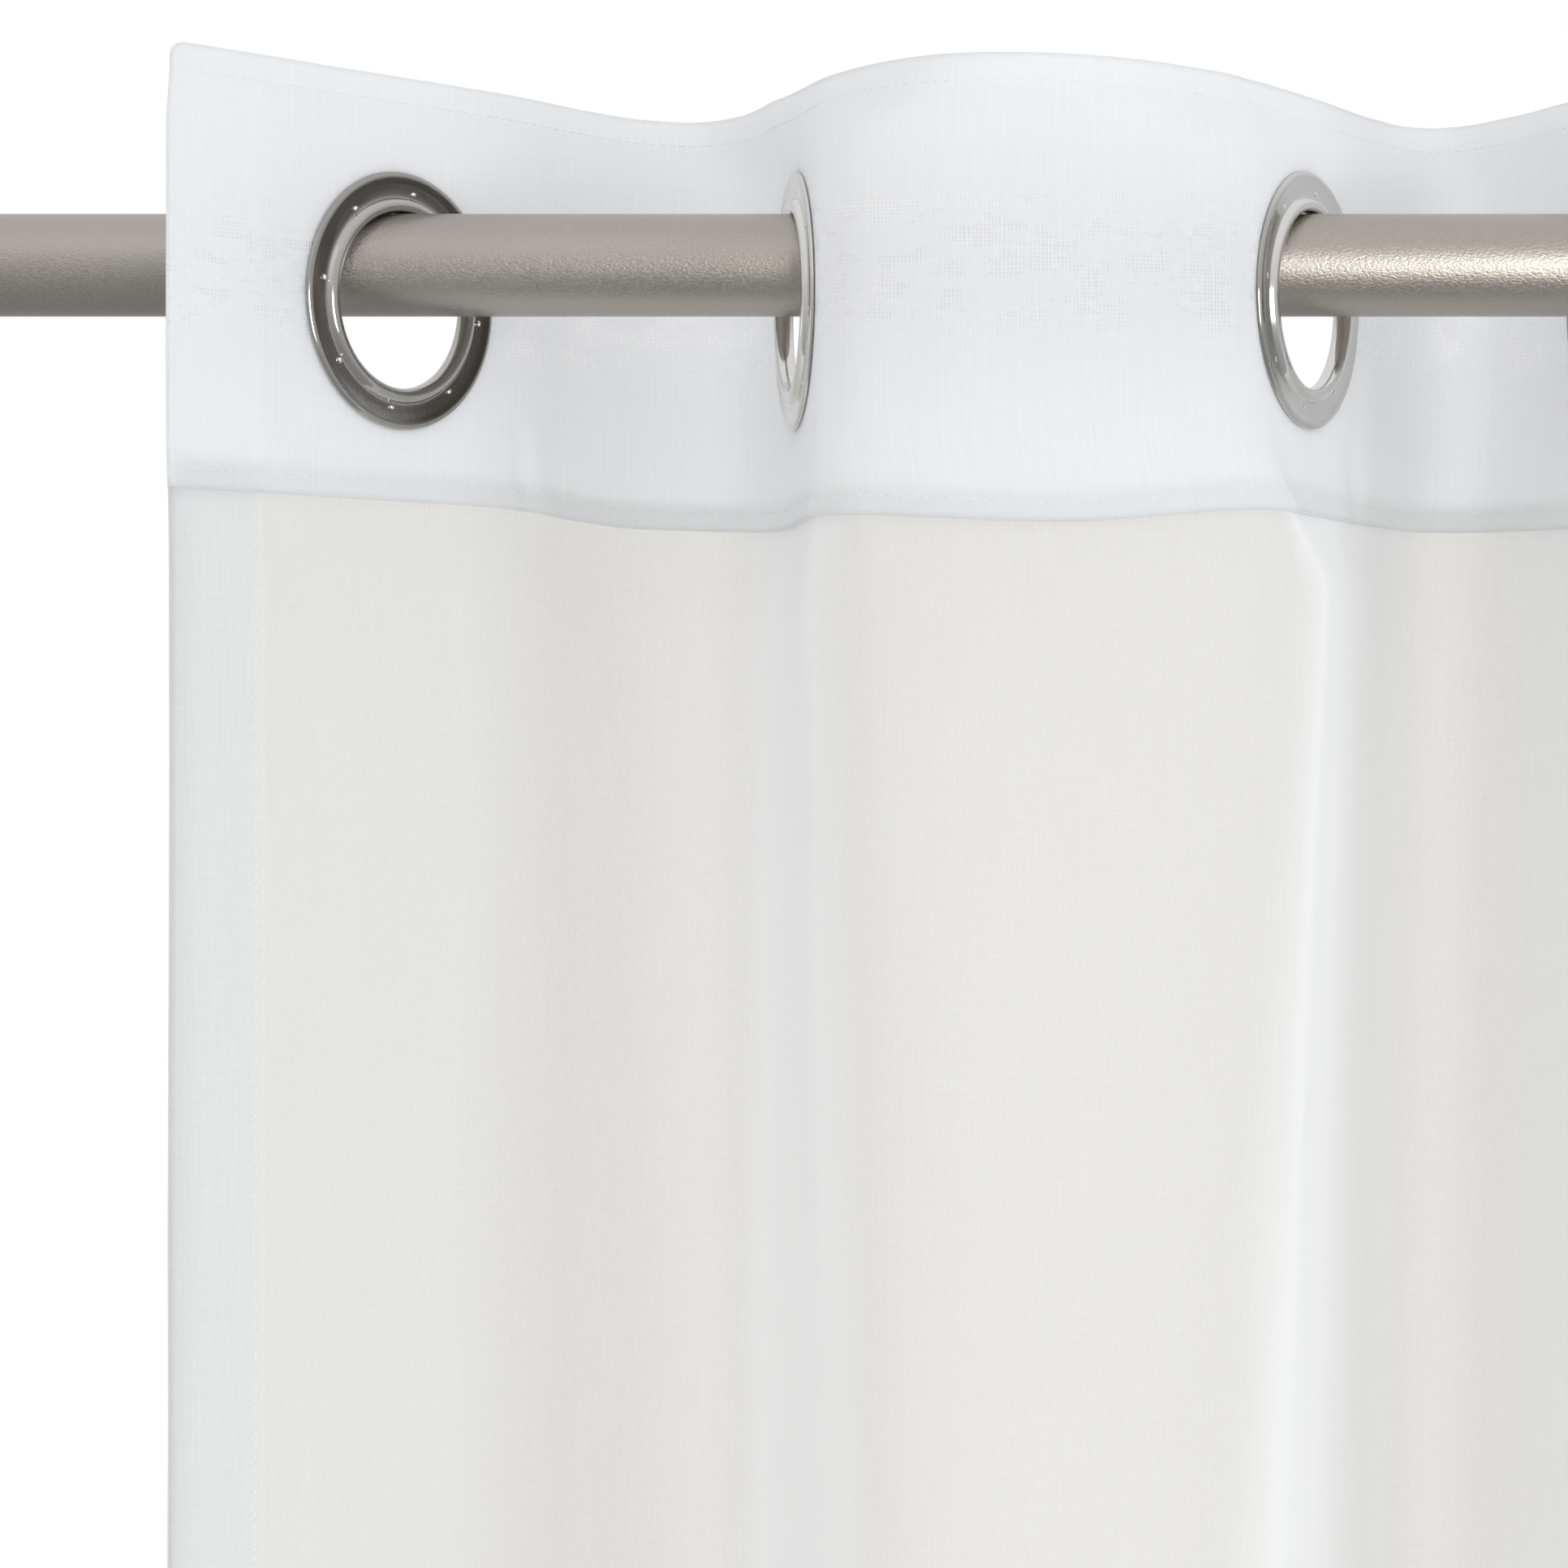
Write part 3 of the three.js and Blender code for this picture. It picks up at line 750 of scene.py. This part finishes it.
def turned_ring(name, profile, place, look, steps, reflection_tones, snap):
    """A ring turned from its profile, with its painted reflections in the tone attribute, and with
    snaps that stand out by snap where that isn't 0.
    """
    bm = bmesh.new()
    points = [bm.verts.new((radius * MM, 0, height * MM)) for radius, height in profile]
    edges = [bm.edges.new((points[k], points[(k + 1) % len(points)])) for k in range(len(points))]
    bmesh.ops.spin(
        bm, geom=points + edges, cent=(0, 0, 0), axis=(0, 0, 1), angle=2 * math.pi, steps=steps,
        use_merge=True,
    )
    bmesh.ops.remove_doubles(bm, verts=bm.verts, dist=1e-6)
    bmesh.ops.recalc_face_normals(bm, faces=bm.faces)
    # The tone attribute is painted reflection: each vertex's brightness stands in for what the ring
    # reflects there
    tone = bm.verts.layers.float.new("tone")
    flange, bead, reflection_patch, reflection_patch_angle = reflection_tones
    for v in bm.verts:
        radius = math.hypot(v.co.x, v.co.y) / MM
        angle = math.degrees(math.atan2(v.co.y, v.co.x))
        apart = abs((angle - reflection_patch_angle + 180) % 360 - 180)
        here = mix(flange, reflection_patch, float(smooth(TONE_FADE - apart / TONE_SPREAD)))
        share = min(max((BEAD_TONE_FROM - radius) / BEAD_TONE_WIDTH, 0), 1)
        rim = min(max((radius - RIM_TONE_FROM) / RIM_TONE_WIDTH, 0), 1)
        v[tone] = mix(mix(here, bead, share), RIM_TONE, RIM_SHARE * rim)
    if snap:
        smooth_part = len(bm.verts)
        for k in range(SNAPS):
            around = math.radians(SNAP_TURN + 360 * k / SNAPS)
            at = Vector((math.cos(around), math.sin(around), 0)) * SNAP_RADIUS * MM
            at.z = SNAP_FOOT * MM
            size = Matrix.Diagonal((SNAP_HALF[0] * MM, SNAP_HALF[1] * MM, snap * MM, 1))
            turn = Matrix.Rotation(around, 4, "Z")
            bmesh.ops.create_icosphere(
                bm, subdivisions=2, radius=1, matrix=Matrix.Translation(at) @ turn @ size
            )
        bm.verts.ensure_lookup_table()
        # The snaps keep the full metal colour, with no painted dark reflection
        for v in bm.verts[smooth_part:]:
            v[tone] = 1.0
    bm.transform(place)
    return new_piece(name, bm, look, 40)


# Share of the rod's chamfer at which its outline is broken once more
CHAMFER_ROUND = 0.3


class CURTAIN_OT_rod(bpy.types.Operator):
    """Makes the satin rod"""

    bl_idname = "curtain.rod"
    bl_label = "Rod"

    def execute(self, context):
        sizes = context.scene.curtain_sizes
        radius, length, chamfer = sizes.rod_diameter / 2, sizes.rod_length, sizes.rod_chamfer
        bm = bmesh.new()
        round_off = chamfer * CHAMFER_ROUND
        outline = [
            (0, 0), (0, radius - chamfer), (round_off, radius - round_off), (chamfer, radius),
            (length - chamfer, radius), (length - round_off, radius - round_off),
            (length, radius - chamfer), (length, 0),
        ]
        points = [bm.verts.new((x, 0, z)) for x, z in outline]
        edges = [bm.edges.new(pair) for pair in zip(points, points[1:])]
        bmesh.ops.spin(
            bm, geom=points + edges, cent=(0, 0, 0), axis=(1, 0, 0), angle=2 * math.pi,
            steps=sizes.rod_sides, use_merge=True,
        )
        bmesh.ops.remove_doubles(bm, verts=bm.verts, dist=1e-6)
        bmesh.ops.recalc_face_normals(bm, faces=bm.faces)
        rod = new_piece("satin_rod", bm, satin_nickel(tuple(context.scene.curtain_colours.rod)), 30)
        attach(rod, "root")
        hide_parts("rod")
        return {"FINISHED"}


class CURTAIN_OT_eyelets(bpy.types.Operator):
    """Makes the front and back rings of all eyelets"""

    bl_idname = "curtain.eyelets"
    bl_label = "Eyelets"

    def execute(self, context):
        steps = context.scene.curtain_sizes.ring_steps
        look = polished_nickel(tuple(context.scene.curtain_colours.eyelet))
        for i in range(EYELETS):
            place = eyelet_place(i)
            sides = (("front", FRONT_PROFILE, SNAP_HEIGHTS[i]), ("back", BACK_PROFILE, 0.0))
            for side, profile, snap in sides:
                name, reflection_tones = f"ring_{side}_{i + 1}", RING_REFLECTION_TONES[i]
                ring = turned_ring(name, profile, place, look, steps, reflection_tones, snap)
                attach(ring, "root")
                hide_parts(f"eyelet_{i + 1}_{side}")
        return {"FINISHED"}


# Over how much of its height or width a hem's edge blends into the single cloth
HEM_BLEND = 0.8
FOOT_HEM_BLEND = 2
# The heading's holes, which the flanges cover, and how far round them its mesh is drawn in
HOLE_RADIUS = 26
HOLE_REACH = 5
HEADING_STEP = 2.0
HEADING_ROWS = 56
CORNER_RADIUS = 3.6
CORNER_COLUMNS = np.array([0, 0.4, 1.2, 2.2, 3.4])
CORNER_MARGIN = 4.4
# Heights of the heading's turned seams, at its lower and its top edge
FOOT_SEAM = 6.5
TOP_SEAM = 6.8
# How far behind the heading the panel starts and how far above its foot, and the depth below
# the foot over which it comes forward and spreads to the heading's width
PANEL_BEHIND = 1.15
PANEL_TUCK = 7
PANEL_FORWARD = 22
PANEL_INSET = 1.35
INSET_WIDTH = 9
PANEL_ROWS = 168
PANEL_STEP = 3.4
# Draws the panel's rows closer together towards the heading
PANEL_ROW_POWER = 1.7
# The layers of its turned hems, as shares of their width and as distance behind the front
SIDE_TURN = np.array([0, 0.35, 0.7, 0.95, 1.0])
FOOT_TURN = np.array([0.02, 0.35, 0.7, 1.0])
SIDE_TURN_OFF = -0.75
FOOT_TURN_OFF = -1.7


def tucked(below):
    """Where the panel lies against the heading's surface, at a depth below the heading's foot."""
    return -PANEL_BEHIND * (1 - smooth(below / PANEL_FORWARD))


def corner_drop(u):
    """How far the heading's rounded top corners fall below its top edge."""
    near = np.clip(CORNER_RADIUS - np.minimum(u, CLOTH_WIDTH - u), 0, CORNER_RADIUS)
    return CORNER_RADIUS - np.sqrt(CORNER_RADIUS**2 - near**2)


class CURTAIN_OT_heading(bpy.types.Operator):
    """Makes the doubled heading strip with its round holes"""

    bl_idname = "curtain.heading"
    bl_label = "Heading"

    def execute(self, context):
        scene = context.scene
        sizes = scene.curtain_sizes
        columns = int(round(CLOTH_WIDTH / HEADING_STEP)) + 1
        width = np.linspace(0, CLOTH_WIDTH, columns)
        inner = width[(width > CORNER_MARGIN) & (width < CLOTH_WIDTH - CORNER_MARGIN)]
        width = np.concatenate([CORNER_COLUMNS, inner, CLOTH_WIDTH - CORNER_COLUMNS[::-1]])
        share = np.linspace(0, 1, HEADING_ROWS)[:, None]
        top = top_edge(width) - corner_drop(width)
        foot = heading_foot(width)
        u = np.broadcast_to(width, (len(share), len(width))).copy()
        h = mix(top[None, :], foot[None, :], share)
        seam = smooth((FOOT_SEAM - (h - foot)) / HEM_BLEND)
        seam += smooth((TOP_SEAM - (top - h)) / HEM_BLEND)
        side = sizes.side_hem / MM
        edge_distance = np.minimum(u, CLOTH_WIDTH - u)
        hem = np.clip(seam + smooth((side - edge_distance) / HEM_BLEND), 0, 1)
        bm, flat_u, flat_h = cloth_grid(u, h, relief(u, h), hem)
        bm.verts.ensure_lookup_table()
        cut = set()
        for centre in EYELET_U:
            inside = np.where(np.hypot(flat_u - centre, flat_h) < HOLE_RADIUS)[0]
            cut.update(int(k) for k in inside)
        kept = {v: (flat_u[k], flat_h[k]) for k, v in enumerate(bm.verts) if k not in cut}
        doomed = [v for k, v in enumerate(bm.verts) if k in cut]
        bmesh.ops.delete(bm, geom=doomed, context="VERTS")
        for v in bm.verts:
            if not v.is_boundary:
                continue
            at_u, at_h = kept[v]
            for centre in EYELET_U:
                reach = math.hypot(at_u - centre, at_h)
                if reach < HOLE_RADIUS + HOLE_REACH:
                    scale = HOLE_RADIUS / reach
                    at_u, at_h = centre + (at_u - centre) * scale, at_h * scale
                    v.co = drape(at_u, at_h, 0.0)
        colours = scene.curtain_colours
        look = linen(
            "heading_linen", tuple(colours.heading), hem_colour=(0.955, 0.97, 0.985),
            through_colour=(0.94, 0.945, 0.95), cover=0.975, open_weave=0.03, glow=0.55,
            sheen=0.3, weave=0.26, strip=(-0.014, 0.022, 0.28),
        )
        heading = new_piece("heading_strip", bm, look)
        shell = heading.modifiers.new("doubled", "SOLIDIFY")
        shell.thickness = sizes.heading_thickness
        shell.offset = 0
        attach(heading, "root")
        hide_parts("heading")
        return {"FINISHED"}


class CURTAIN_OT_panel(bpy.types.Operator):
    """Makes the sheer panel with its turned side and foot hems"""

    bl_idname = "curtain.panel"
    bl_label = "Panel"

    def execute(self, context):
        scene = context.scene
        sizes = scene.curtain_sizes
        side, foot = sizes.side_hem / MM, sizes.foot_hem / MM
        hem_level = EYELET_BELOW_TOP - sizes.drop / MM
        body = np.linspace(0, CLOTH_WIDTH, int(round(CLOTH_WIDTH / PANEL_STEP)) + 1)
        back = side * SIDE_TURN[::-1]
        u_line = np.concatenate([back, body, CLOTH_WIDTH - back[::-1]])
        u_line[len(back) - 1] = 0
        u_line[-len(back)] = CLOTH_WIDTH
        side_layer = np.full(len(back), SIDE_TURN_OFF)
        layer_u = np.concatenate([side_layer, np.zeros(len(body)), side_layer])
        share = np.linspace(0, 1, PANEL_ROWS)
        rows = PANEL_ROWS + len(FOOT_TURN)
        u = np.broadcast_to(u_line, (rows, len(u_line))).copy()
        start = heading_foot(u_line) + PANEL_TUCK
        body_h = mix(start[None, :], hem_level, (share**PANEL_ROW_POWER)[:, None])
        tail = FOOT_TURN[:, None] * foot
        h = np.concatenate([body_h, hem_level + np.broadcast_to(tail, (len(tail), len(u_line)))])
        layer_h = np.concatenate([np.zeros(PANEL_ROWS), np.full(len(tail), FOOT_TURN_OFF)])
        below = heading_foot(u_line)[None, :] - h
        off = tucked(below) + layer_h[:, None] + layer_u[None, :] + relief(u, h)
        inset = PANEL_INSET * (1 - smooth(below / PANEL_FORWARD))
        u = u + inset * (np.exp(-u / INSET_WIDTH) - np.exp((u - CLOTH_WIDTH) / INSET_WIDTH))
        edge_distance = np.minimum(u, CLOTH_WIDTH - u)
        hem = smooth((side - edge_distance) / HEM_BLEND)
        hem += smooth((foot - (h - hem_level)) / FOOT_HEM_BLEND)
        bm, _, _ = cloth_grid(u, h, off, np.clip(hem, 0, 1))
        colours = scene.curtain_colours
        look = linen(
            "voile", tuple(colours.panel), hem_colour=tuple(colours.hem),
            through_colour=(0.85, 0.84, 0.81), cover=0.93, open_weave=0.06, glow=0.5,
            sheen=0.75, weave=1.0,
        )
        panel = new_piece("sheer_panel", bm, look)
        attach(panel, "root")
        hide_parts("panel")
        return {"FINISHED"}


# Half sizes of a stitch, along the row as a share of the pitch, and how far it stands off
STITCH_LENGTH = 0.38
STITCH_WIDTH = 0.17
STITCH_HEIGHT = 0.13
STITCH_LIFT = 0.06
# Where the rows run: from the heading's top and lower edge, and in from the inner hem edges
TOP_ROW = 6.2
FOOT_ROW = 4.6
SIDE_ROW = 2.2
HEM_ROW = 2.5
# How far short of an edge a row stops, and how far below the heading it starts
ROW_MARGIN = 3
ROW_START = 8


def stitch_row(bm, template, corners, u, h, off):
    """Adds one stitch at each u and h, lying along the row."""
    points = drape(u, h, off)
    ahead = np.roll(points, -1, 0) - np.roll(points, 1, 0)
    ahead[0], ahead[-1] = points[1] - points[0], points[-1] - points[-2]
    out = drape(u, h, off + 1.0) - points
    for p, along, normal in zip(points, ahead, out):
        x_axis = Vector(along).normalized()
        z_axis = Vector(normal).normalized()
        y_axis = z_axis.cross(x_axis)
        place = Matrix((x_axis, y_axis, z_axis)).transposed().to_4x4()
        place.translation = Vector(p)
        template.vertices.foreach_set("co", corners)
        template.transform(place)
        bm.from_mesh(template)


class CURTAIN_OT_stitches(bpy.types.Operator):
    """Sews the rows of stitches along the heading and the hems"""

    bl_idname = "curtain.stitches"
    bl_label = "Stitches"

    def execute(self, context):
        scene = context.scene
        sizes = scene.curtain_sizes
        pitch = sizes.stitch_pitch / MM
        seed = bmesh.new()
        halves = (STITCH_LENGTH * pitch * MM, STITCH_WIDTH * MM, STITCH_HEIGHT * MM)
        size = Matrix.Diagonal((*halves, 1))
        bmesh.ops.create_icosphere(seed, subdivisions=1, radius=1, matrix=size)
        template = bpy.data.meshes.new("stitch")
        seed.to_mesh(template)
        seed.free()
        corners = np.zeros(len(template.vertices) * 3)
        template.vertices.foreach_get("co", corners)
        look = sewing_thread(tuple(scene.curtain_colours.thread))
        along = np.arange(ROW_MARGIN, CLOTH_WIDTH - ROW_MARGIN, pitch)
        side, foot = sizes.side_hem / MM - SIDE_ROW, sizes.foot_hem / MM - HEM_ROW
        hem_level = EYELET_BELOW_TOP - sizes.drop / MM
        half = sizes.heading_thickness / MM / 2
        down = np.arange(-EYELET_ABOVE_FOOT - ROW_START, hem_level + ROW_MARGIN, -pitch)
        rows = {
            "heading_stitches": (
                (along, top_edge(along) - TOP_ROW),
                (along, heading_foot(along) + FOOT_ROW),
            ),
            "hem_stitches": (
                (np.full(down.shape, side), down),
                (np.full(down.shape, CLOTH_WIDTH - side), down),
                (along, np.full(along.shape, hem_level + foot)),
            ),
        }
        for name, lines in rows.items():
            on_heading = name == "heading_stitches"
            bm = bmesh.new()
            for u, h in lines:
                surface = half if on_heading else tucked(heading_foot(u) - h)
                stitch_row(bm, template, corners, u, h, surface + STITCH_LIFT + relief(u, h))
            stitches = new_piece(name, bm, look)
            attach(stitches, "root")
            "heading_cloth" if name == "heading_stitches" else "panel_cloth"
        bpy.data.meshes.remove(template)
        return {"FINISHED"}


# In metres and watts, and for the lens in millimetres
CAMERA_PLACE = (0.3194, -1.150, -0.1268)
CAMERA_LENS = 108
CAMERA_SENSOR = 36
CAMERA_CLIP = 0.05
FLOOR_HALF = 11
FLOOR_PLACE = (0.6, 0, -2.412)
# How strongly the studio lights the curtain from below and from above, and the heights of the
# direction between which that changes
STUDIO_HEIGHTS = (-0.7, 0.7)
STUDIO_STRENGTHS = (0.52, 1.2)
# Name, place, target, size, power and colour of each light, and whether it shows in metal and
# whether it lights matt surfaces
AREA_LIGHTS = (
    ("shine", (1.05, -2.0, -0.24), (0.5, 0, 0), (0.8, 0.9), 22, (1.0, 0.985, 0.96), True, False),
    ("fill", (-0.6, -1.9, 1.3), (0.4, 0, -0.4), (2.0, 1.6), 2.2, (0.95, 0.975, 1.0), True, True),
    ("right", (2.25, -1.6, -0.2), (0.5, 0, -0.4), (0.8, 1.8), 13.5, (0.87, 0.94, 1.0), False, True),
    ("behind", (0.6, 2.2, 0.2), (0.6, 0, -0.6), (1.8, 2.4), 13.5, (1.0, 1.0, 1.0), False, True),
    ("front", (0.5, -2.9, -1.0), (0.6, 0, -0.9), (2.4, 1.6), 11.5, (1.0, 1.0, 1.0), False, True),
)


def area_light(name, place, target, size, power, colour, glossy, soft):
    lamp = bpy.data.lights.new(name, "AREA")
    lamp.shape = "RECTANGLE"
    lamp.size, lamp.size_y = size
    lamp.energy = power
    lamp.color = colour
    light = bpy.data.objects.new(name, lamp)
    light.location = place
    towards = Vector(target) - Vector(place)
    light.rotation_euler = towards.to_track_quat("-Z", "Y").to_euler()
    light.visible_glossy = glossy
    light.visible_diffuse = soft
    light.visible_transmission = soft
    bpy.context.scene.collection.objects.link(light)


def studio_world():
    """White to the camera, and a soft light on the curtain that is stronger from above."""
    world = bpy.data.worlds.new("studio")
    world.use_nodes = True
    tree = world.node_tree
    tree.nodes.clear()
    shown = tree.nodes.new("ShaderNodeBackground")
    shown.inputs[0].default_value = (1, 1, 1, 1)
    lit = tree.nodes.new("ShaderNodeBackground")
    sky = tree.nodes.new("ShaderNodeTexCoord")
    split = tree.nodes.new("ShaderNodeSeparateXYZ")
    ramp = tree.nodes.new("ShaderNodeMapRange")
    ramp.inputs["From Min"].default_value, ramp.inputs["From Max"].default_value = STUDIO_HEIGHTS
    ramp.inputs["To Min"].default_value, ramp.inputs["To Max"].default_value = STUDIO_STRENGTHS
    path = tree.nodes.new("ShaderNodeLightPath")
    mixer = tree.nodes.new("ShaderNodeMixShader")
    out = tree.nodes.new("ShaderNodeOutputWorld")
    tree.links.new(sky.outputs["Generated"], split.inputs[0])
    tree.links.new(split.outputs[2], ramp.inputs["Value"])
    tree.links.new(ramp.outputs[0], lit.inputs["Strength"])
    tree.links.new(path.outputs["Is Camera Ray"], mixer.inputs[0])
    tree.links.new(lit.outputs[0], mixer.inputs[1])
    tree.links.new(shown.outputs[0], mixer.inputs[2])
    tree.links.new(mixer.outputs[0], out.inputs[0])
    return world


class CURTAIN_OT_stage(bpy.types.Operator):
    """Sets the pale floor, the soft studio lights and the camera"""

    bl_idname = "curtain.stage"
    bl_label = "Stage"

    def execute(self, context):
        scene = context.scene
        bm = bmesh.new()
        bmesh.ops.create_grid(bm, x_segments=1, y_segments=1, size=FLOOR_HALF)
        bmesh.ops.translate(bm, verts=bm.verts, vec=FLOOR_PLACE)
        floor = new_piece("floor", bm, pale_floor())
        floor.visible_glossy = False

        scene.world = studio_world()
        for light in AREA_LIGHTS:
            area_light(*light)

        lens = bpy.data.cameras.new("view")
        lens.lens = CAMERA_LENS
        lens.sensor_width = CAMERA_SENSOR
        lens.clip_start = CAMERA_CLIP
        camera = bpy.data.objects.new("view", lens)
        camera.location = CAMERA_PLACE
        camera.rotation_euler = (math.pi / 2, 0, 0)
        scene.collection.objects.link(camera)
        scene.camera = camera
        scene.view_settings.view_transform = "Standard"
        return {"FINISHED"}


OPERATORS = (
    CURTAIN_OT_stage,
    CURTAIN_OT_rod,
    CURTAIN_OT_eyelets,
    CURTAIN_OT_heading,
    CURTAIN_OT_panel,
    CURTAIN_OT_stitches,
)


class CURTAIN_PT_parts(bpy.types.Panel):
    """Lists the curtain's pieces, sizes and colours"""

    bl_idname = "CURTAIN_PT_parts"
    bl_label = "Curtain"
    bl_space_type = "VIEW_3D"
    bl_region_type = "UI"
    bl_category = "Curtain"

    def draw(self, context):
        for group in (context.scene.curtain_sizes, context.scene.curtain_colours):
            box = self.layout.box()
            for name in group.__annotations__:
                box.prop(group, name)
        for operator in OPERATORS:
            self.layout.operator(operator.bl_idname)


CLASSES = (CurtainSizes, CurtainColours, *OPERATORS, CURTAIN_PT_parts)


def register():
    for cls in CLASSES:
        bpy.utils.register_class(cls)
    bpy.types.Scene.curtain_sizes = PointerProperty(type=CurtainSizes)
    bpy.types.Scene.curtain_colours = PointerProperty(type=CurtainColours)


def unregister():
    del bpy.types.Scene.curtain_colours
    del bpy.types.Scene.curtain_sizes
    for cls in reversed(CLASSES):
        bpy.utils.unregister_class(cls)


def main():
    """Builds the whole curtain."""
    register()
    bpy.ops.curtain.stage()
    bpy.ops.curtain.rod()
    bpy.ops.curtain.eyelets()
    bpy.ops.curtain.heading()
    bpy.ops.curtain.panel()
    bpy.ops.curtain.stitches()


if __name__ == "__main__":
    main()
